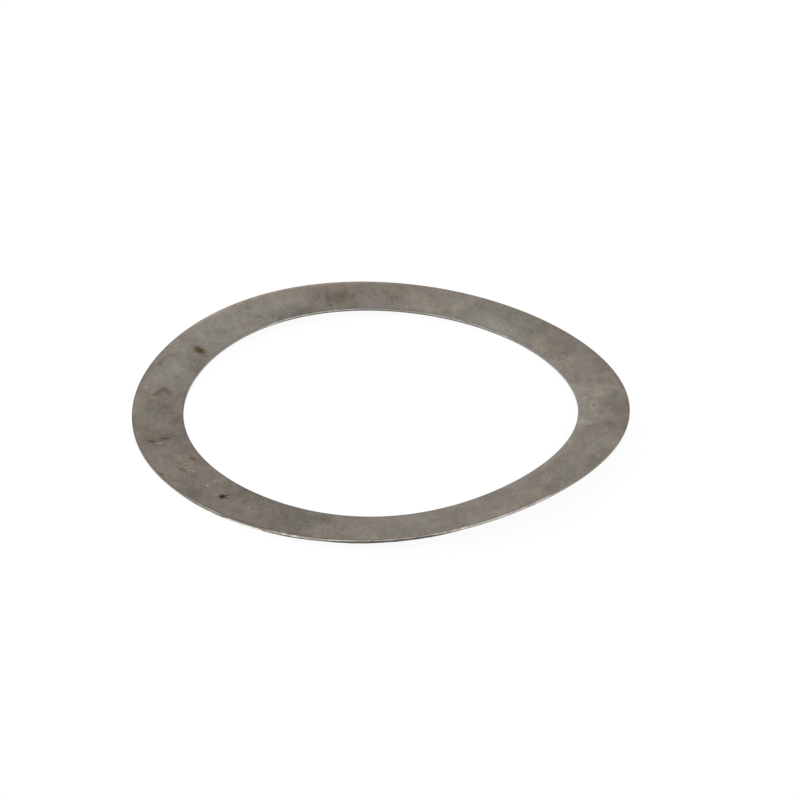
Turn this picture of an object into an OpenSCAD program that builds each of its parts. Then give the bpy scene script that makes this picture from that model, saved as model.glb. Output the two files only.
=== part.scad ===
// Shim washer: a thin ring blanked from steel sheet, sprung out of flat.
// The origin is on the bore's axis at the height of the lowest point, +Z is up, and +X points to
// where the edge of the bore stands highest. Lengths are in millimetres and angles in degrees.

/* [Washer] */
// Diameter over the rim: nominal 47, made a little under
outer_d = 46.85; // [46.67:0.01:46.92]
// Diameter of the bore: nominal 37, made a little over
inner_d = 37.15; // [37.08:0.01:37.33]
// Thickness of the sheet
thickness = 0.3; // [0.2:0.05:0.5]

/* [Bow] */
// Rise and fall of the bow, which lifts two opposite ends
bow_h = 0.52; // [0:0.01:0.8]
// Direction of the bow's higher end
bow_dir = -12; // [-90:1:90]
// Rise and fall of the uneven part of the bow, three waves round the ring
uneven_h = 0.21; // [0:0.01:0.4]
// Direction of one of its crests
uneven_dir = 10; // [-60:1:60]
// Rise and fall of the ripple, four waves round the ring
ripple_h = 0.09; // [0:0.01:0.2]
// Direction of one of its crests
ripple_dir = -9; // [-45:1:45]

/* [Slope across the band] */
// Dish: how much the band climbs towards the rim, all the way round
dish = 3.13; // [0:0.01:5]
// Extra climb on one side of the ring
side_curl = 2.72; // [0:0.01:5]
// Direction of the side that climbs most
side_curl_dir = -22; // [-180:1:180]
// Extra climb at the bow's two ends
end_curl = 3.63; // [0:0.01:5]
// Direction of one of those ends
end_curl_dir = -21; // [-90:1:90]
// Extra climb in three places round the ring
uneven_curl = 0.55; // [0:0.01:2]
// Direction of one of them
uneven_curl_dir = 4; // [-60:1:60]

/* [Rest] */
// Lean of the ring on its three points of contact
lean = 0.83; // [0:0.01:2]
// Direction of the side that the lean lifts
lean_dir = 15; // [-180:1:180]

/* [Blanked edge] */
// Drop of the shoulder where the punch drew the upper face down
shoulder_h = 0.03; // [0.02:0.005:0.05]
// Width of that shoulder on the face
shoulder_w = 0.06; // [0.03:0.01:0.1]
// Share of the thickness that sheared to a bright, straight wall
bright_share = 0.37; // [0.3:0.01:0.5]
// How far the torn wall below it falls back
torn_back = 0.025; // [0.02:0.005:0.04]

/* [Hidden] */
steel = "#8a8276";
// the sheet's surface has this many flat steps round the ring
steps = 180;
rim_r = outer_d / 2;
bore_r = inner_d / 2;
mid_r = (rim_r + bore_r) / 2;
bright_end = shoulder_h + bright_share * thickness;
// the shoulder and the torn wall run on past the cutting circle by this much, and are cut off there
bright_mid = (shoulder_h + bright_end) / 2;
overrun = torn_back * (bright_end - bright_mid) / (thickness - bright_end);
shoulder_end = shoulder_h * (shoulder_w + overrun) / shoulder_w;
// height of the cutting circles, well clear of the bow above and below
cut_h = 12;

// Height of the band's middle circle at angle a
function middle_rise(a) =
    bow_h * cos(2 * (a - bow_dir))
    + uneven_h * cos(3 * (a - uneven_dir))
    + ripple_h * cos(4 * (a - ripple_dir));

// Climb of the band towards the rim at angle a
function climb(a) =
    tan(dish)
    + tan(side_curl) * cos(a - side_curl_dir)
    + tan(end_curl) * cos(2 * (a - end_curl_dir))
    + tan(uneven_curl) * cos(3 * (a - uneven_curl_dir));

// Height of the sheet's lower face at radius r and angle a, before it is set down
function rise(r, a) =
    middle_rise(a)
    + climb(a) * (r - mid_r)
    + tan(lean) * r * cos(a - lean_dir);

// Half of the band's section as [distance in from the cut edge, depth below the upper face],
// from the upper face round the edge to the lower face
edge_section = [
    [shoulder_w, 0],
    [-overrun, shoulder_end],
    [-overrun, bright_mid],
    [torn_back, thickness],
];

// The whole section as [radius, depth]: the rim's edge downwards, then the bore's edge upwards
band_section = concat(
    [for (p = edge_section) [rim_r - p[0], p[1]]],
    [for (i = [len(edge_section) - 1 : -1 : 0])
        [bore_r + edge_section[i][0], edge_section[i][1]]]
);

angles = [for (i = [0 : steps - 1]) i * 360 / steps];
lowest = min([for (a = angles, r = [bore_r + torn_back, rim_r - torn_back]) rise(r, a)]);

// The bowed sheet: the section carried round the ring, its height following the bow
module bowed_band() {
    n = len(band_section);
    points = [
        for (a = angles, p = band_section)
            [p[0] * cos(a), p[0] * sin(a), rise(p[0], a) - lowest + thickness - p[1]]
    ];
    faces = [
        for (i = [0 : steps - 1], j = [0 : n - 1])
            let (
                here = i * n,
                next = ((i + 1) % steps) * n,
                k = (j + 1) % n
            )
            each [[here + j, here + k, next + k], [here + j, next + k, next + j]]
    ];
    polyhedron(points = points, faces = faces, convexity = 4);
}

// A cutting circle, as tall as any bow
module cutting_circle(r) {
    translate([0, 0, -cut_h / 2]) cylinder(r = r, h = cut_h, $fn = 2 * steps);
}

// The washer: rim and bore are true circles cut through the bowed sheet
module shim_washer() {
    color(steel)
    difference() {
        intersection() {
            bowed_band();
            cutting_circle(rim_r);
        }
        cutting_circle(bore_r);
    }
}

shim_washer();
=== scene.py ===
import math

import bpy
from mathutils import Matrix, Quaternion, Vector, noise


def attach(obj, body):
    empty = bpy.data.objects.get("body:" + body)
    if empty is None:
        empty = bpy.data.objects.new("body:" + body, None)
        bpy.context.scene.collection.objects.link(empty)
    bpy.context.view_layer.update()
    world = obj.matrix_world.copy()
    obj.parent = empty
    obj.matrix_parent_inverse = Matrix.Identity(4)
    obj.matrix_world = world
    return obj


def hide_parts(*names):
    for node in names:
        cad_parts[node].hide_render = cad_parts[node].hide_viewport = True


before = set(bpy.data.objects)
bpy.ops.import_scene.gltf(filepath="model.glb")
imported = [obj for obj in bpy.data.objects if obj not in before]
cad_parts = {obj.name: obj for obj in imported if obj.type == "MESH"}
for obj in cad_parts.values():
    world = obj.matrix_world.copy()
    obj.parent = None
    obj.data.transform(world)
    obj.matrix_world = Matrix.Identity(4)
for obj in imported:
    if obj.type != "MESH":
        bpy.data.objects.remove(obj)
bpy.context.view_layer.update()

# Shim washer: one thin ring of cold-rolled steel sheet. A press blanked the rim and the bore in one
# stroke, which left a rounded shoulder, a bright sheared band and a dull torn band on both edges.
# The ring has since sprung out of flat and rests on three points.
mm = 0.001
rim_r = 46.85 * mm / 2
bore_r = 37.15 * mm / 2
thickness = 0.3 * mm
mid_r = (rim_r + bore_r) / 2

# The bow: rise and fall of the band's middle circle, as (height, waves round the ring, direction)
bow = (0.52 * mm, 2, -12)
uneven_bow = (0.21 * mm, 3, 10)
ripple = (0.09 * mm, 4, -9)
# Climb of the band towards the rim, as (degrees, waves round the ring, direction)
dish = (3.13, 0, 0)
side_curl = (2.72, 1, -22)
end_curl = (3.63, 2, -21)
uneven_curl = (0.55, 3, 4)
# Lean of the whole ring on its three points of contact
lean = (0.83, 1, 15)

# The blanked edge: shoulder drawn down by the punch, straight sheared band, torn band falling back.
# The punch sat a little off centre in the die, so the sheared band's share of the wall below the
# shoulder differs: tall on most of each edge, short over one stretch of it, as (tall share, short
# share, and the short stretch's direction, half width and fade in degrees).
shoulder_h = 0.03 * mm
shoulder_w = 0.06 * mm
rim_band = (0.78, 0.34, 307.5, 8, 8)
bore_band = (0.92, 0.55, 123, 34, 8)
torn_back = 0.025 * mm
# The torn band starts along a ragged line, not lower than a share of the thickness. Its own surface
# is rough.
ragged = 0.03 * mm
ragged_length = 0.55 * mm
lowest_start = 0.95
torn_rough = 0.012 * mm
torn_grain = 0.28 * mm
# Burr: a thin, wavy lip that hangs from the rim's lower edge over two stretches, as (direction, half
# width and fade in degrees). Its foot runs out on the lower face.
burr_lips = [(274, 13, 8), (309, 9, 8)]
burr_down = 0.06 * mm
burr_uneven = 0.35
burr_length = 0.7 * mm
burr_foot = 0.08 * mm
# On part of the first one the torn band starts higher on the wall, and small bright teeth stand out
# of it. At both ends of that part it starts so low that it all but vanishes.
toothed = (274.3, 3.9, 4)
tooth_out = 0.05 * mm
tooth_length = 0.55 * mm
tooth_band = 0.62
tooth_end_start = 0.97


def wave(degrees, waves, direction):
    """Waves round the ring, from -1 to 1, with one crest in the direction (degrees)."""
    return math.cos(math.radians(waves * (degrees - direction)))


def rise(r, a):
    """Height of the lower face at radius r and angle a (degrees), before the ring is set down."""
    middle = sum(height * wave(a, *pattern) for height, *pattern in (bow, uneven_bow, ripple))
    slopes = (dish, side_curl, end_curl, uneven_curl)
    climb = sum(math.tan(math.radians(slope)) * wave(a, *pattern) for slope, *pattern in slopes)
    tilt, *pattern = lean
    return middle + climb * (r - mid_r) + math.tan(math.radians(tilt)) * r * wave(a, *pattern)


# Height of the ring's lowest place, which is set down at zero
places = 180
lower_edges = (bore_r + torn_back, rim_r - torn_back)
lowest = min(rise(r, i * 360 / places) for i in range(places) for r in lower_edges)

# Broad areas of the upper face painted lighter (those named clean) or darker (those named dull): partly
# stains, partly painted light and shade where the bent sheet's slopes catch more or less light. Each has
# radius (mm), angle (degrees), half length and width (mm), turn of the length from +X (degrees), and change
# of tone
areas = [
    ("clean, left", 21.2, 170, 9.0, 3.5, 80, 0.16),
    ("clean by the bore, left", 20.3, 200, 2.2, 1.6, 110, 0.14),
    ("clean, back", 20.3, 98, 6.5, 3.5, 8, 0.15),
    ("clean by the bore, back", 19.2, 98, 6.0, 1.4, 8, 0.12),
    ("clean by the bore, right", 19.2, 43, 4.5, 1.6, 133, 0.08),
    ("clean, front right", 22.0, 335, 6.0, 3.0, 65, 0.07),
    ("clean by the bore, far right", 19.6, 76, 3.0, 1.6, 166, 0.12),
    ("clean by the rim, back left", 22.4, 153, 2.2, 1.2, 63, 0.14),
    ("clean by the rim, front", 22.4, 302, 2.6, 1.6, 32, 0.12),
    ("clean by the rim, front right", 22.9, 333, 1.9, 0.8, 63, 0.15),
    ("clean by the rim, left", 22.9, 199, 1.7, 0.8, 109, 0.1),
    ("clean by the bore, middle of the back", 19.1, 123, 2.6, 0.9, 33, 0.1),
    ("dull by the bore, left", 19.2, 190, 1.6, 1.0, 100, -0.14),
    ("dull round the olive stain", 20.0, 141, 2.2, 3.0, 51, -0.04),
    ("dull by the bore, front left", 19.5, 226, 5.5, 2.3, 136, -0.26),
    ("dull, front left", 20.8, 262, 3.4, 3.6, 172, -0.17),
    ("dull, front", 19.9, 280, 2.8, 3.2, 10, -0.31),
    ("dull by the bore, back left", 19.3, 153, 1.9, 1.0, 63, -0.2),
    ("dull by the rim, front left", 22.7, 251, 1.8, 0.9, 161, -0.12),
    ("dull by the rim, right", 22.6, 38, 4.2, 1.3, 128, -0.18),
    ("dull by the rim, far right", 22.6, 76, 4.5, 1.8, 166, -0.24),
    ("dull by the rim, right end", 22.1, 360, 4.4, 2.0, 90, -0.12),
]

# Stains and scratches on the upper face, and a pit whose near-black is partly painted shade in its hollow.
# Each has its place as radius (mm) and angle (degrees), half its length and width (mm), the turn of its
# length from
# +X (degrees), colour, strength and softness.
stains = [
    ("grey film, left", 21.2, 173, 8.0, 3.0, 83, "#77756e", 0.6, 0.9),
    ("grey film, back", 20.3, 95, 6.0, 3.0, 5, "#77756a", 0.7, 0.9),
    ("grey film, lower left", 20.6, 198, 4.5, 2.8, 108, "#75736e", 0.45, 0.9),
    ("grey film, front right", 21.0, 312, 3.0, 2.6, 42, "#787570", 0.4, 0.9),
    ("olive stain", 21.0, 135.7, 1.2, 1.05, 46, "#6b6452", 0.6, 0.75),
    ("olive stain core", 21.0, 136.8, 1.1, 0.4, 110, "#655e45", 0.35, 0.7),
    ("olive stain, right lobe", 21.0, 133.8, 0.5, 0.32, 86, "#675f4e", 0.5, 0.6),
    ("olive stain, left side", 21.0, 140.9, 0.8, 0.3, 133, "#5f574a", 0.5, 0.65),
    ("spot in its left side", 21.1, 140.9, 0.17, 0.16, 28, "#4f473b", 0.7, 0.5),
    ("spot below it", 19.4, 141.3, 0.2, 0.22, 12, "#584f43", 0.55, 0.6),
    ("green patch by the bore", 19.2, 137.8, 0.6, 0.28, 47, "#7b7763", 0.5, 0.6),
    ("dash by the bore", 18.8, 134.2, 0.24, 0.12, 53, "#534b41", 0.8, 0.5),
    ("brown spot", 20.3, 185.7, 0.93, 0.5, 164, "#62563f", 0.95, 0.5),
    ("brown spot core", 20.3, 185.6, 0.52, 0.3, 160, "#42321f", 0.95, 0.6),
    ("brown spot tail", 19.3, 186.9, 0.42, 0.17, 163, "#6d6358", 0.7, 0.5),
    ("blotch by the rim", 22.6, 194.7, 0.8, 0.27, 104, "#62594d", 0.7, 0.7),
    ("olive blotch", 22.1, 190.9, 0.5, 0.38, 67, "#696354", 0.65, 0.7),
    ("smudge, light side", 22.2, 207.6, 0.75, 0.36, 158, "#8c8577", 0.65, 0.7),
    ("smudge, light streak", 22.5, 205.9, 0.3, 0.13, 58, "#978f84", 0.65, 0.5),
    ("smudge, thin streak", 22.2, 207.2, 0.45, 0.11, 169, "#71685c", 0.7, 0.5),
    ("smudge, middle", 21.0, 208.2, 0.5, 0.4, 82, "#766c50", 0.55, 0.6),
    ("smudge, right side", 20.5, 207.4, 0.74, 0.28, 155, "#5c5449", 0.9, 0.65),
    ("smudge, dark line", 21.2, 207.4, 0.85, 0.17, 92, "#58503b", 0.85, 0.55),
    ("smudge, top", 20.95, 205.9, 0.22, 0.2, 74, "#5f5749", 0.6, 0.5),
    ("smudge, far right", 20.05, 207.2, 0.22, 0.22, 56, "#665e55", 0.7, 0.6),
    ("dent beside it", 21.6, 210.8, 0.28, 0.17, 38, "#a0988c", 0.65, 0.5),
    ("faint blotch", 20.3, 214.9, 0.5, 0.36, 170, "#685f54", 0.5, 0.7),
    ("scratch, inside", 21.5, 231.1, 0.34, 0.12, 42, "#8a8273", 0.7, 0.5),
    ("scratch, head", 22.0, 231.3, 0.36, 0.24, 20, "#4a4129", 0.7, 0.5),
    ("scratch, neck", 21.4, 231.6, 0.4, 0.1, 61, "#5a5141", 0.65, 0.5),
    ("scratch, tail", 20.7, 230.7, 0.5, 0.22, 50, "#4b4332", 0.75, 0.5),
    ("scratch, end", 19.8, 230.3, 0.33, 0.13, 56, "#6a6157", 0.35, 0.6),
    ("scratch, light side", 21.3, 232.4, 0.46, 0.14, 50, "#989180", 0.75, 0.5),
    ("line beside its head", 22.6, 233.1, 0.33, 0.09, 48, "#8b8479", 0.5, 0.5),
    ("light fleck", 21.4, 234.9, 0.2, 0.1, 56, "#8e867d", 0.6, 0.5),
    ("light fleck", 20.8, 237.7, 0.39, 0.07, 129, "#8c857c", 0.6, 0.5),
    ("bluish patch by the rim", 22.5, 243.1, 0.28, 0.32, 32, "#737878", 0.65, 0.7),
    ("reddish patch by the rim", 23.25, 246.3, 0.36, 0.15, 165, "#62483b", 0.75, 0.6),
    ("brown patch by the bore", 19.5, 243.2, 0.5, 0.28, 158, "#594f41", 0.8, 0.65),
    ("its upper end", 19.4, 241.2, 0.3, 0.18, 176, "#665d51", 0.65, 0.6),
    ("dark line", 20.7, 245.6, 0.3, 0.12, 40, "#5c5347", 0.65, 0.5),
    ("dark line", 21.1, 248.0, 0.36, 0.12, 46, "#544b3e", 0.8, 0.5),
    ("light line", 20.4, 247.3, 0.3, 0.09, 48, "#8f877b", 0.45, 0.5),
    ("dark patch", 21.2, 246.6, 0.3, 0.16, 14, "#584f42", 0.8, 0.5),
    ("dark line", 20.3, 248.0, 0.34, 0.1, 39, "#5d564a", 0.65, 0.5),
    ("light line", 20.7, 248.3, 0.42, 0.09, 37, "#aaa28e", 0.75, 0.5),
    ("dark line", 20.9, 243.6, 0.42, 0.08, 48, "#625a4e", 0.55, 0.5),
    ("light line", 20.4, 244.6, 0.4, 0.08, 40, "#928b7f", 0.5, 0.5),
    ("green patch beside it", 22.4, 246.0, 0.95, 0.32, 135, "#6e6f60", 0.5, 0.7),
    ("light speck", 20.9, 256.9, 0.11, 0.16, 37, "#b2aaa2", 0.8, 0.5),
    ("light speckle", 20.0, 255.8, 0.12, 0.1, 50, "#958e86", 0.5, 0.5),
    ("light speckle", 19.6, 257.9, 0.19, 0.1, 51, "#958e86", 0.5, 0.5),
    ("light speckle", 19.5, 259.6, 0.16, 0.09, 70, "#958e86", 0.5, 0.5),
    ("dark speckle", 20.1, 257.8, 0.14, 0.1, 51, "#5a5249", 0.5, 0.5),
    ("dark speckle", 20.0, 260.4, 0.16, 0.1, 47, "#5a5249", 0.5, 0.5),
    ("brown rim of the pit", 21.15, 263.2, 0.45, 0.5, 38, "#4c3e2c", 0.55, 0.5),
    # pit: near black, partly dark oxide and partly painted shade in its hollow
    ("pit", 21.13, 263.2, 0.27, 0.38, 38, "#110700", 1.0, 0.25),
    ("pit's upper tail", 20.7, 263.8, 0.32, 0.1, 62, "#2a2014", 0.9, 0.5),
    ("pit's lower tail", 21.0, 264.6, 0.3, 0.1, 28, "#322c22", 0.8, 0.5),
    ("burr of the pit", 20.8, 264.3, 0.11, 0.08, 47, "#b0a898", 0.7, 0.5),
    ("green tail", 20.7, 265.6, 0.33, 0.16, 85, "#7f8375", 0.7, 0.6),
    ("dark dot", 20.7, 282.3, 0.12, 0.2, 39, "#5c5349", 0.75, 0.5),
    ("dark dot by the rim", 21.7, 286.7, 0.16, 0.16, 46, "#5c544a", 0.65, 0.5),
    ("brown smudge", 20.0, 291.6, 1.0, 0.8, 29, "#685f50", 0.5, 0.7),
    ("brown smudge core", 19.9, 291.7, 0.55, 0.34, 42, "#605745", 0.5, 0.6),
    ("beige area", 19.5, 44.5, 3.0, 1.2, 149, "#8c8579", 0.6, 0.6),
    ("beige lobe", 21.2, 46.1, 1.1, 0.9, 27, "#8e8678", 0.45, 0.6),
    ("beige end by the bore", 18.9, 29.4, 1.4, 0.6, 151, "#8f877b", 0.6, 0.6),
    ("streak", 20.8, 43.6, 1.03, 0.12, 58, "#a39b8e", 0.4, 0.7),
    ("streak", 20.0, 46.9, 0.8, 0.1, 54, "#9e968a", 0.35, 0.7),
    ("streak", 19.2, 41.9, 0.58, 0.1, 70, "#9e968a", 0.35, 0.7),
    ("streak", 21.8, 47.7, 0.55, 0.1, 54, "#9e968a", 0.35, 0.7),
    ("streak", 20.0, 30.8, 0.86, 0.11, 67, "#9e9689", 0.35, 0.7),
    ("streak", 19.6, 26.4, 0.62, 0.11, 64, "#9e9689", 0.35, 0.7),
    ("ring scratch", 20.1, 37.3, 0.38, 0.75, 30, "#9b948a", 0.5, 0.35),
    ("inside the ring scratch", 20.1, 37.3, 0.26, 0.5, 30, "#7d756c", 0.9, 0.35),
    ("middle of the ring scratch", 20.05, 37.2, 0.4, 0.12, 150, "#6b635a", 0.7, 0.5),
    ("dull patch beside it", 20.8, 33.2, 0.6, 0.4, 120, "#6f655b", 0.7, 0.6),
    ("bluish patch", 22.4, 43.2, 0.3, 0.75, 31, "#6b6963", 0.8, 0.6),
    ("dull patch by the rim", 22.3, 35.0, 1.0, 0.65, 152, "#71675f", 0.5, 0.7),
    ("dark band", 20.5, 24.6, 1.7, 0.75, 54, "#6f665d", 0.5, 0.7),
    ("light strip beside it", 20.9, 20.1, 1.1, 0.4, 58, "#857c72", 0.4, 0.7),
    ("brown rim", 23.2, 47.5, 1.9, 0.14, 138, "#7a5f50", 0.5, 0.6),
    ("brown rim", 23.3, 37.0, 1.9, 0.13, 127, "#7a5c4c", 0.5, 0.6),
    ("brown rim", 23.35, 26.0, 1.6, 0.12, 116, "#7a6354", 0.4, 0.6),
    ("brown rim", 23.15, 79.5, 1.6, 0.16, 170, "#8b6553", 0.5, 0.6),
    ("light speck", 20.5, 65.1, 0.11, 0.13, 7, "#a39b90", 0.5, 0.5),
    ("light speck", 19.2, 357.9, 0.14, 0.2, 39, "#9b948a", 0.6, 0.5),
    ("light speckle by the rim", 22.7, 8.9, 0.5, 0.15, 100, "#918d7a", 0.5, 0.6),
    ("green dot", 22.0, 162.4, 0.18, 0.21, 56, "#6f6d5b", 0.6, 0.6),
    ("dark dot", 20.1, 162.2, 0.21, 0.23, 46, "#67645a", 0.65, 0.6),
    ("dark end of the bore's wall", 18.7, 158.3, 0.17, 0.19, 57, "#484440", 0.8, 0.5),
]

# Dents in the sheet: place, half length and width, turn and depth (mm). Further from its middle than
# the reach, a dent is too shallow to matter.
dent_reach = 3 * mm
dents = [
    ("pit", 21.1, 263.3, 0.25, 0.35, 38, 0.06),
    ("scratch", 21.3, 231.4, 1.1, 0.16, 48, 0.015),
    ("dark line of the smudge", 21.4, 207.8, 1.0, 0.16, 92, 0.012),
    ("dent beside it", 21.6, 210.9, 0.3, 0.2, 36, -0.012),
]
# Nicks in the rim: angle (degrees), half length and depth (mm)
nicks = [(264.9, 0.14, 0.05), (270.9, 0.18, 0.06)]


def on_ring(r_mm, degrees):
    a = math.radians(degrees)
    return Vector((r_mm * mm * math.cos(a), r_mm * mm * math.sin(a), 0))


def fade_out(away):
    """1 in the middle of a dent or nick, about a seventh at its stated size, and soon 0 beyond it."""
    return math.exp(-2 * away ** 2)


def dent_depth(x, y):
    """How far the dents lower the upper face at a place."""
    depth = 0
    for _, r_mm, a, half_length, half_width, turn, deep in dents:
        away = Vector((x, y, 0)) - on_ring(r_mm, a)
        if away.length > dent_reach:
            continue
        away.rotate(Quaternion((0, 0, 1), -math.radians(turn)))
        depth += deep * mm * fade_out(math.hypot(away.x / (half_length * mm), away.y / (half_width * mm)))
    return depth


def rim_nick(a):
    """How far the nicks move the rim's edge in at an angle."""
    depth = 0
    for at, half_length, deep in nicks:
        depth += deep * mm * fade_out(math.radians(a - at) * rim_r / (half_length * mm))
    return depth


# The mesh's steps, the angle from which an edge stays sharp, and the finishes of its faces
steps_round = 1200
steps_across = 36
steps_under = 6
shoulder_steps = 5
sheared_steps = 3
torn_steps = 4
sharp_degrees = 30
sheared, torn, burred, under, rolled = range(5)
# One shader can't hold all the marks of the upper face, so its material is made once for each of
# four sectors, with the marks that reach into it. The mottling runs on across their borders.
sectors = 4


def stretch(a, direction, half_width, fade):
    """1 up to the half width away from a direction (degrees), falling to 0 over the fade beyond it."""
    away = abs((a - direction + 180) % 360 - 180)
    t = min(max((half_width + fade - away) / fade, 0), 1)
    return t * t * (3 - 2 * t)


def uneven(x, y, level, length):
    """Smooth ups and downs of a given length, from about -0.5 to 0.5. Each level has its own."""
    return noise.noise(Vector((x, y, level)) / length)


# Levels at which the teeth, the ragged line and the burr are read, so that they differ
tooth_level, ragged_level, burr_level = 0, 3 * mm, 5 * mm


def edge_points(r, inward, a):
    """One edge of the section at angle a, from the upper face down, as (radius, depth, finish below)."""
    x, y = r * math.cos(math.radians(a)), r * math.sin(math.radians(a))
    at_rim = inward < 0
    tall, short, *short_part = rim_band if at_rim else bore_band
    teeth = stretch(a, *toothed) if at_rim else 0
    share = tall + (short - tall) * stretch(a, *short_part) + (tooth_band - tall) * teeth
    boundary = shoulder_h + share * (thickness - shoulder_h)
    boundary += ragged * uneven(x, y, ragged_level, ragged_length)
    boundary = min(boundary, lowest_start * thickness)
    cut = r + inward * (rim_nick(a) if at_rim else 0)
    tooth = tooth_out * teeth * max(0, 2 * uneven(x, y, tooth_level, tooth_length))
    below = burred if teeth > 0.5 else torn
    lip = max(stretch(a, *part) for part in burr_lips) if at_rim else 0
    lip *= burr_down * (1 + burr_uneven * uneven(x, y, burr_level, burr_length))
    tooth_ends = 4 * teeth * (1 - teeth)
    boundary += (tooth_end_start * (thickness + lip) - boundary) * tooth_ends
    points = []
    for i in range(shoulder_steps):
        t = math.pi / 2 * i / shoulder_steps
        points.append((cut + inward * shoulder_w * (1 - math.sin(t)), shoulder_h * (1 - math.cos(t)), rolled))
    for i in range(sheared_steps):
        points.append((cut, shoulder_h + (boundary - shoulder_h) * i / sheared_steps, sheared))
    for i in range(torn_steps + 1):
        t = i / torn_steps
        depth = boundary + (thickness + lip - boundary) * t
        rough = torn_rough * (0.5 + uneven(x, y, depth, torn_grain)) * math.sin(math.pi * t)
        points.append((cut + inward * (torn_back * t + max(rough, 0) - tooth * t), depth, below))
    return points


# The section goes down the rim, in below the sheet, up the bore and out over the upper face, and it
# is joined to the next one all the way round
vertices, faces, finishes = [], [], []
for step in range(steps_round):
    a = step * 360 / steps_round
    at_rim, at_bore = edge_points(rim_r, -1, a), edge_points(bore_r, 1, a)
    burr_tip_r, burr_tip_depth, _ = at_rim[-1]
    section = at_rim[:-1] + [(burr_tip_r, burr_tip_depth, under)]
    low_out, low_in = burr_tip_r - burr_foot, at_bore[-1][0]
    for i in range(steps_under):
        section.append((low_out + (low_in - low_out) * i / steps_under, thickness, under))
    upwards = at_bore[::-1]
    for (r, depth, _), (_, _, finish) in zip(upwards, upwards[1:]):
        section.append((r, depth, finish))
    high_out, high_in = at_rim[0][0], at_bore[0][0]
    for i in range(steps_across):
        section.append((high_in + (high_out - high_in) * i / steps_across, 0, rolled))
    for r, depth, _ in section:
        x, y = r * math.cos(math.radians(a)), r * math.sin(math.radians(a))
        sunk = dent_depth(x, y) if depth == 0 else 0
        vertices.append((x, y, rise(r, a) - lowest + thickness - depth - sunk))
    count = len(section)
    here, there = step * count, (step + 1) % steps_round * count
    for i in range(count):
        j = (i + 1) % count
        faces.append((here + j, there + j, there + i, here + i))
        finish = section[i][2]
        finishes.append(finish + step * sectors // steps_round if finish == rolled else finish)
mesh = bpy.data.meshes.new("shim_washer_sheet")
mesh.from_pydata(vertices, [], faces)
mesh.polygons.foreach_set("material_index", finishes)
mesh.polygons.foreach_set("use_smooth", [True] * len(faces))
mesh.update()
mesh.set_sharp_from_angle(angle=math.radians(sharp_degrees))
washer = bpy.data.objects.new("washer", mesh)
bpy.context.scene.collection.objects.link(washer)


def colour(hex_code):
    """An sRGB hex code as a linear colour."""
    parts = [int(hex_code[i:i + 2], 16) / 255 for i in (1, 3, 5)]
    return [c / 12.92 if c <= 0.04045 else ((c + 0.055) / 1.055) ** 2.4 for c in parts] + [1]


def add(tree, kind, inputs, **options):
    """Adds a node, sets its options, and gives each named input a fixed value or a link."""
    node = tree.nodes.new("ShaderNode" + kind)
    for name, value in options.items():
        setattr(node, name, value)
    for socket, value in inputs.items():
        if isinstance(value, bpy.types.NodeSocket):
            tree.links.new(value, node.inputs[socket])
        else:
            node.inputs[socket].default_value = value
    return node


def cover(tree, place, r_mm, a, half_length, half_width, turn, strength, softness):
    """How much an elliptical mark with a soft outline covers, from its strength in the middle to 0."""
    near = add(tree, "Mapping", {
        "Vector": place, "Location": on_ring(r_mm, a), "Rotation": (0, 0, math.radians(turn)),
        "Scale": (half_length * mm, half_width * mm, 1),
    }, vector_type="TEXTURE")
    away = add(tree, "VectorMath", {0: near.outputs["Vector"]}, operation="LENGTH")
    return add(tree, "MapRange", {
        "Value": away.outputs["Value"], "From Min": 1 - softness, "From Max": 1 + softness,
        "To Min": strength, "To Max": 0,
    }, interpolation_type="SMOOTHSTEP").outputs["Result"]


def tinted(tree, skin, tint, share):
    """A skin with a share of another colour. A Mix node's colours are its inputs 6 and 7 and output 2."""
    return add(tree, "Mix", {0: share, 6: skin, 7: colour(tint)}, data_type="RGBA").outputs[2]


def lay_over(tree, place, skin, marks):
    """Lays coloured marks over a skin, one after the other."""
    for _, r_mm, a, half_length, half_width, turn, tint, strength, softness in marks:
        share = cover(tree, place, r_mm, a, half_length, half_width, turn, strength, softness)
        skin = tinted(tree, skin, tint, share)
    return skin


# The rolls' direction on the sheet, in degrees from +X, and how much longer the mottling is along it
rolling = 126
drawn_out = 1.35
# The oxide's shades, from place to place about 3 mm across: share by which red and blue swing
hue_size = 2.6 * mm
red_swing, blue_swing = 0.055, 0.045
# Mottling from 3 mm down to the grain of the rolls, as (size, detail, roughness, swing from dark to
# light). The real grain is finer than 0.02 mm, and is drawn at 0.11 mm so that it shows.
mottling = [(3 * mm, 5, 0.82, 1.55), (0.25 * mm, 1, 0.8, 0.45), (0.11 * mm, 1, 1, 0.45)]
middle_tone = 0.955
# The marks' outlines wander a little, and the broad areas fade out softly
wander_size = 0.7 * mm
wander_by = 0.5 * mm
area_softness = 0.9
# The gloss swings between these two roughnesses, and the skin stands up in a fine relief
smoother, rougher = 0.38, 0.48
skin_relief = 0.004 * mm
# The lower face shows the noise at another height, so it doesn't repeat the upper face
lower_face_noise = 0.05

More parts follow.
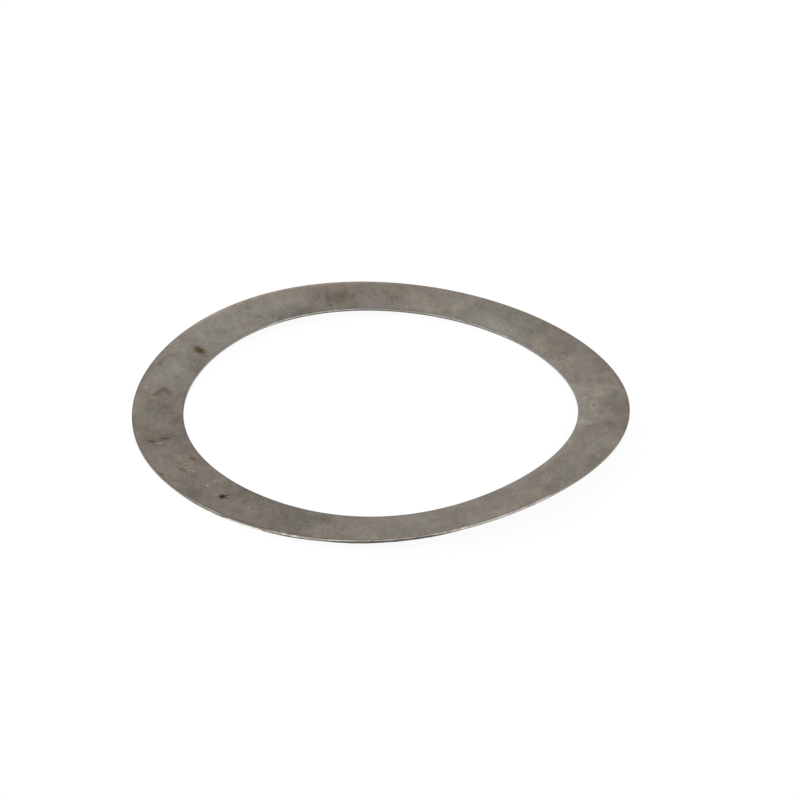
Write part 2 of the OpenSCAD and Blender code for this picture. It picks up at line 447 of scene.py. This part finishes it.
# Along the edges the upper face and its shoulder are painted: a darker brownish band by the rim and a bluish
# one by the bore, a thin dark line of painted shade on the shoulder at each, and three lighter stretches, of
# which the one at the back of the rim and the one along the bore's right side are painted highlights where
# the shoulder catches the light, as (edge, how far in, colour, strength, and for a stretch its direction and
# half its length in degrees)
edge_skins = [
    (rim_r, -0.35 * mm, "#837365", 0.5, None, None),
    # thin dark line of painted shade on the rim's shoulder
    (rim_r, -0.2 * mm, "#655a4f", 0.8, None, None),
    # painted highlight on the shoulder at the back of the rim
    (rim_r, -0.5 * mm, "#a69486", 0.7, 151, 41),
    # lighter stretch at the rim's right end
    (rim_r, -0.6 * mm, "#90857a", 0.35, 5, 25),
    (bore_r, 0.5 * mm, "#716f6c", 0.6, None, None),
    # thin dark line of painted shade on the bore's shoulder
    (bore_r, 0.17 * mm, "#62605e", 0.6, None, None),
    # painted highlight on the bore's shoulder along its right side
    (bore_r, 0.9 * mm, "#989289", 0.55, 22, 70),
]


def reaches(mark, sector):
    """Whether a mark or a broad area reaches into a sector. The softest ones fade out at twice their
    size, and the wander needs room beside them."""
    _, r_mm, a, half_length, half_width, *_ = mark
    room_mm = 0.4
    half_sector = 180 / sectors
    away = abs((a - (2 * sector + 1) * half_sector + 180) % 360 - 180)
    return away < half_sector + math.degrees((2 * max(half_length, half_width) + room_mm) / r_mm)


def rolled_steel(name, sector):
    """Cold-rolled steel sheet, satin from the rolls: a warm mid-grey metal with a mottled skin of thin
    oxide, faint grain along the rolling direction, and a soft, broad gloss."""
    material = bpy.data.materials.new(name)
    material.use_nodes = True
    tree = material.node_tree
    tree.nodes.clear()
    place = add(tree, "TexCoord", {}).outputs["Object"]
    along = add(tree, "Mapping", {
        "Vector": place, "Rotation": (0, 0, math.radians(rolling)), "Scale": (drawn_out, 1, 1),
        "Location": (0, 0, lower_face_noise if sector is None else 0),
    }, vector_type="TEXTURE").outputs["Vector"]

    # thin oxide makes the grey a little redder or yellower from place to place. The noise's colour
    # moves red and blue separately and leaves green alone.
    hue = add(tree, "TexNoise", {"Vector": along, "Scale": 1 / hue_size, "Detail": 3, "Roughness": 0.65})
    red, green, blue, _ = colour("#7d746a")
    skin = add(tree, "VectorMath", {
        0: hue.outputs["Color"], 1: (red_swing, 0, blue_swing),
        2: (red - red_swing / 2, green, blue - blue_swing / 2),
    }, operation="MULTIPLY_ADD").outputs[0]

    # each layer of the mottling adds light and dark about the middle tone
    tone = middle_tone - sum(swing for *_, swing in mottling) / 2
    for size, detail, roughness, swing in mottling:
        mottle = add(tree, "TexNoise", {
            "Vector": along, "Scale": 1 / size, "Detail": detail, "Roughness": roughness,
        }).outputs["Fac"]
        tone = add(tree, "Math", {0: mottle, 1: swing, 2: tone}, operation="MULTIPLY_ADD").outputs[0]

    if sector is not None:
        wander = add(tree, "TexNoise", {"Vector": place, "Scale": 1 / wander_size, "Detail": 3})
        centred = add(tree, "VectorMath", {
            0: wander.outputs["Color"], 1: (0.5, 0.5, 0.5),
        }, operation="SUBTRACT").outputs[0]
        moved = add(tree, "VectorMath", {
            0: centred, 1: (wander_by, wander_by, wander_by), 2: place,
        }, operation="MULTIPLY_ADD").outputs[0]
        # broad areas: tone painted lighter or darker, partly stains and partly painted light and shade of the
        # slopes
        for area in areas:
            if reaches(area, sector):
                share = cover(tree, moved, *area[1:], area_softness)
                tone = add(tree, "Math", {0: tone, 1: share}, operation="ADD").outputs[0]
        skin = lay_over(tree, moved, skin, [mark for mark in stains if reaches(mark, sector)])

    flat = add(tree, "VectorMath", {0: place, 1: (1, 1, 0)}, operation="MULTIPLY")
    radius = add(tree, "VectorMath", {0: flat.outputs[0]}, operation="LENGTH").outputs["Value"]
    # edge bands, with their painted shade and painted highlights on the shoulders
    for edge, reach, tint, strength, direction, half in edge_skins:
        share = add(tree, "MapRange", {
            "Value": radius, "From Min": edge + reach, "From Max": edge, "To Min": 0, "To Max": strength,
        }).outputs["Result"]
        if direction is not None:
            outwards = add(tree, "VectorMath", {0: flat.outputs[0]}, operation="NORMALIZE").outputs[0]
            facing = add(tree, "VectorMath", {
                0: outwards, 1: on_ring(1 / mm, direction),
            }, operation="DOT_PRODUCT").outputs["Value"]
            within = add(tree, "MapRange", {
                "Value": facing, "From Min": math.cos(math.radians(half)), "From Max": 1,
            }, interpolation_type="SMOOTHSTEP").outputs["Result"]
            share = add(tree, "Math", {0: share, 1: within}, operation="MULTIPLY").outputs[0]
        skin = tinted(tree, skin, tint, share)
    skin = add(tree, "VectorMath", {0: skin, "Scale": tone}, operation="SCALE").outputs[0]

    gloss = add(tree, "MapRange", {
        "Value": hue.outputs["Fac"], "From Min": 0.4, "From Max": 0.6, "To Min": smoother, "To Max": rougher,
    }).outputs["Result"]
    relief = add(tree, "Bump", {
        "Strength": 0.5, "Distance": skin_relief, "Height": hue.outputs["Fac"],
    }).outputs["Normal"]
    steel = add(tree, "BsdfPrincipled", {
        "Base Color": skin, "Metallic": 1, "Roughness": gloss, "Normal": relief,
    })
    add(tree, "OutputMaterial", {"Surface": steel.outputs["BSDF"]})
    return material


# Stretches where the wall is painted duller or brighter, in the same form as the stains. The brighter ones
# and the bright flecks are painted highlights on the burnished band.
wall_stretches = [
    ("bore's wall, back", 18.6, 123, 13.0, 6.0, 33, "#a39b95", 0.4, 0.3),
    ("bore's wall, middle of the back", 18.6, 124, 3.3, 1.5, 34, "#928c84", 0.9, 0.3),
    ("bore's wall, left", 18.6, 181, 6.2, 3.0, 91, "#8b857e", 0.85, 0.3),
    ("bore's wall, right", 18.6, 64, 7.0, 3.0, 154, "#8d8780", 0.85, 0.3),
    ("rim's wall, right end", 23.4, 12, 9.8, 3.0, 102, "#7b756f", 0.85, 0.3),
    ("rim's wall, left end", 23.4, 240, 9.0, 3.0, 150, "#76706a", 0.9, 0.3),
    ("rim's wall, right of the burr", 23.4, 289, 2.8, 1.5, 19, "#a09a92", 0.7, 0.4),
    ("rim's wall, left of the burr", 23.4, 266, 1.6, 1.5, 176, "#a09a92", 0.7, 0.4),
    ("rim's wall, above the burr", 23.4, 274.3, 2.6, 1.5, 4, "#76706a", 0.9, 0.3),
    # painted highlights: bright flecks and bright stretches of the rim's wall
    ("rim's wall, bright fleck", 23.4, 284.6, 0.22, 1.5, 15, "#f0e9e2", 0.6, 0.5),
    ("rim's wall, bright fleck", 23.4, 287.2, 0.28, 1.5, 17, "#f0e9e2", 0.6, 0.5),
    ("rim's wall, front", 23.4, 298.5, 1.2, 1.5, 29, "#e2ddd5", 0.6, 0.5),
    ("rim's wall, front right", 23.4, 332.5, 2.6, 1.5, 63, "#dedad2", 0.3, 0.5),
]


def cut_steel(name, pale, dark, size, roughness, relief, marks):
    """Freshly cut steel with a light-and-dark texture of the given size, four times as long through the
    thickness, and with marks laid over it."""
    material = bpy.data.materials.new(name)
    material.use_nodes = True
    tree = material.node_tree
    tree.nodes.clear()
    place = add(tree, "TexCoord", {}).outputs["Object"]
    streaks = add(tree, "Mapping", {"Vector": place, "Scale": (1, 1, 1 / 4)}).outputs["Vector"]
    score = add(tree, "TexNoise", {"Vector": streaks, "Scale": 1 / size, "Detail": 3, "Roughness": 0.7})
    share = add(tree, "MapRange", {"Value": score.outputs["Fac"], "From Min": 0.35, "From Max": 0.65})
    skin = lay_over(tree, place, tinted(tree, colour(pale), dark, share.outputs["Result"]), marks)
    grain = add(tree, "Bump", {"Strength": 0.5, "Distance": relief, "Height": score.outputs["Fac"]})
    steel = add(tree, "BsdfPrincipled", {
        "Base Color": skin, "Metallic": 1, "Roughness": roughness, "Normal": grain.outputs["Normal"],
    })
    add(tree, "OutputMaterial", {"Surface": steel.outputs["BSDF"]})
    return material


# Sheared band: the punch slid down it and burnished it, so it is a bright, fairly smooth line with
# fine score marks through the thickness. Its stretches carry painted highlights and duller places.
mesh.materials.append(cut_steel(
    "burnished_steel_sheared_band", pale="#ccc8c1", dark="#938d86", size=0.9 * mm, roughness=0.28,
    relief=0.002 * mm, marks=wall_stretches,
))
# Torn band: broken, not cut, so it is dull, dark and grainy.
mesh.materials.append(cut_steel(
    "torn_steel_broken_band", pale="#7e7770", dark="#524d48", size=0.2 * mm, roughness=0.6,
    relief=0.01 * mm, marks=[],
))
# Burr: thin metal pulled out sharp and clean, so it is the lightest line on the washer.
mesh.materials.append(cut_steel(
    "bright_steel_burr", pale="#fbf5ec", dark="#c9c1b6", size=0.35 * mm, roughness=0.3,
    relief=0.002 * mm, marks=[],
))
mesh.materials.append(rolled_steel("cold_rolled_steel_lower_face", None))
for sector in range(sectors):
    mesh.materials.append(rolled_steel(f"cold_rolled_steel_upper_face_{sector + 1}", sector))
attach(washer, "root")
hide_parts("shim_washer")

# Floor: a wide white sheet of paper that the washer lies on. It shows the washer's shadow, faintly,
# and is otherwise as white as the background.
floor_half = 1.5
# share of plain white in what the camera and the metal see; the rest shows the shadow
plain_white = 0.94
paper = bpy.data.meshes.new("paper")
corners = [(-floor_half, -floor_half, 0), (floor_half, -floor_half, 0),
           (floor_half, floor_half, 0), (-floor_half, floor_half, 0)]
paper.from_pydata(corners, [], [(0, 1, 2, 3)])
floor = bpy.data.objects.new("floor", paper)
bpy.context.scene.collection.objects.link(floor)
white_paper = bpy.data.materials.new("white_paper")
white_paper.use_nodes = True
tree = white_paper.node_tree
tree.nodes.clear()
ray = add(tree, "LightPath", {})
seen = ray.outputs["Is Camera Ray"]
for other in ("Is Glossy Ray", "Is Transmission Ray"):
    seen = add(tree, "Math", {0: seen, 1: ray.outputs[other]}, operation="MAXIMUM").outputs[0]
share = add(tree, "Math", {0: seen, 1: plain_white}, operation="MULTIPLY")
lit = add(tree, "BsdfDiffuse", {"Color": colour("#ffffff")})
white = add(tree, "Emission", {"Color": colour("#ffffff"), "Strength": 1})
both = add(tree, "MixShader", {0: share.outputs[0], 1: lit.outputs[0], 2: white.outputs[0]})
add(tree, "OutputMaterial", {"Surface": both.outputs[0]})
paper.materials.append(white_paper)

# Surroundings: an even white room
room = bpy.data.worlds.new("white_room")
bpy.context.scene.world = room
room.use_nodes = True
tree = room.node_tree
tree.nodes.clear()
light = add(tree, "Background", {"Color": colour("#ffffff"), "Strength": 1})
add(tree, "OutputWorld", {"Surface": light.outputs[0]})

# Soft studio lamps: (name, azimuth and elevation from the washer in degrees, distance, side, watts)
for name, azimuth, elevation, distance, side, watts in (
    ("key_softbox", 150, 55, 0.9, 0.7, 0.5),
    ("fill_softbox", -20, 35, 1.0, 0.6, 0.4),
):
    lamp = bpy.data.lights.new(name, "AREA")
    lamp.size = side
    lamp.energy = watts
    softbox = bpy.data.objects.new(name, lamp)
    a, e = math.radians(azimuth), math.radians(elevation)
    softbox.location = Vector((math.cos(a) * math.cos(e), math.sin(a) * math.cos(e), math.sin(e))) * distance
    softbox.rotation_euler = softbox.location.to_track_quat("Z", "Y").to_euler()
    bpy.context.scene.collection.objects.link(softbox)

# Camera: the photograph's viewing angle, with a long lens. The washer's centre lands a little left of
# the picture's middle and below it.
picture = 800
focal_px = 4989.1
centre_px = (380.75, 409.5)
azimuth, elevation, roll = math.radians(-53.57), math.radians(31.194), math.radians(0.305)
distance = 470 * mm
towards = Vector((
    math.cos(elevation) * math.cos(azimuth), math.cos(elevation) * math.sin(azimuth), math.sin(elevation)
))
lens = bpy.data.cameras.new("camera")
lens.sensor_width = 36
lens.lens = focal_px * lens.sensor_width / picture
lens.clip_start = 0.01
camera = bpy.data.objects.new("camera", lens)
camera.location = Vector((0, 0, -lowest)) + towards * distance
aim = Vector(((centre_px[0] - picture / 2) / focal_px, (picture / 2 - centre_px[1]) / focal_px, -1))
camera.rotation_mode = "QUATERNION"
camera.rotation_quaternion = (
    towards.to_track_quat("Z", "Y")
    @ Quaternion((0, 0, 1), roll)
    @ aim.rotation_difference(Vector((0, 0, -1)))
)
bpy.context.scene.collection.objects.link(camera)
bpy.context.scene.camera = camera
bpy.context.scene.view_settings.view_transform = "Standard"
